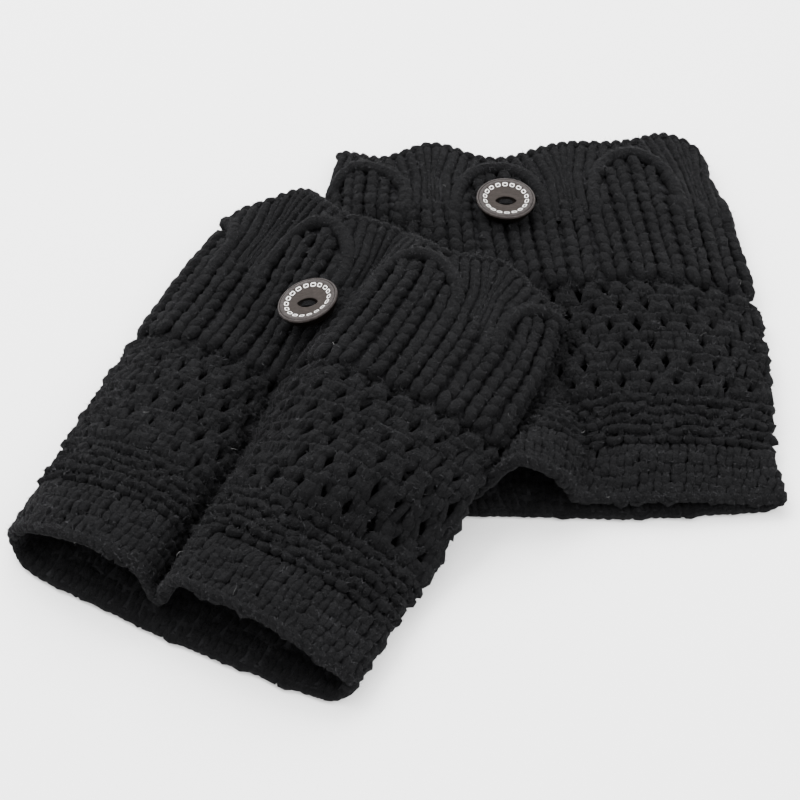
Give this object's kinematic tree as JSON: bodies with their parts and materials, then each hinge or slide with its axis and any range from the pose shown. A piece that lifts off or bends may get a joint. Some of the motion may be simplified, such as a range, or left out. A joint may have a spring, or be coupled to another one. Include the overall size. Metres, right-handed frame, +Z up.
{
  "type": "pair of knitted boot cuffs",
  "caption": "Pair of short knitted tubes for boot tops, ribbed and cabled band, lace body, ridged hem and a wooden button, lying one across the other.",
  "frame": {"origin": "middle of the pair's footprint, on the surface that the pair lies on", "axes": "+X to the right across the pair, +Y away from the two hems along the rear cuff, +Z up"},
  "size_m": [0.28, 0.2722, 0.0393],
  "materials": {
    "knit_yarn": "matt near-black chunky acrylic and wool yarn, with a short fuzz of fibres",
    "button_wood": "grey-brown stained wood with a soft polish and pale etched marks"
  },
  "bodies": {
    "root": {"front_cuff_hem": "knit_yarn", "front_cuff_body": "knit_yarn", "front_cuff_band": "knit_yarn", "front_cuff_button": "button_wood", "rear_cuff_hem": "knit_yarn", "rear_cuff_body": "knit_yarn", "rear_cuff_band": "knit_yarn", "rear_cuff_button": "button_wood"}
  },
  "joints": []
}
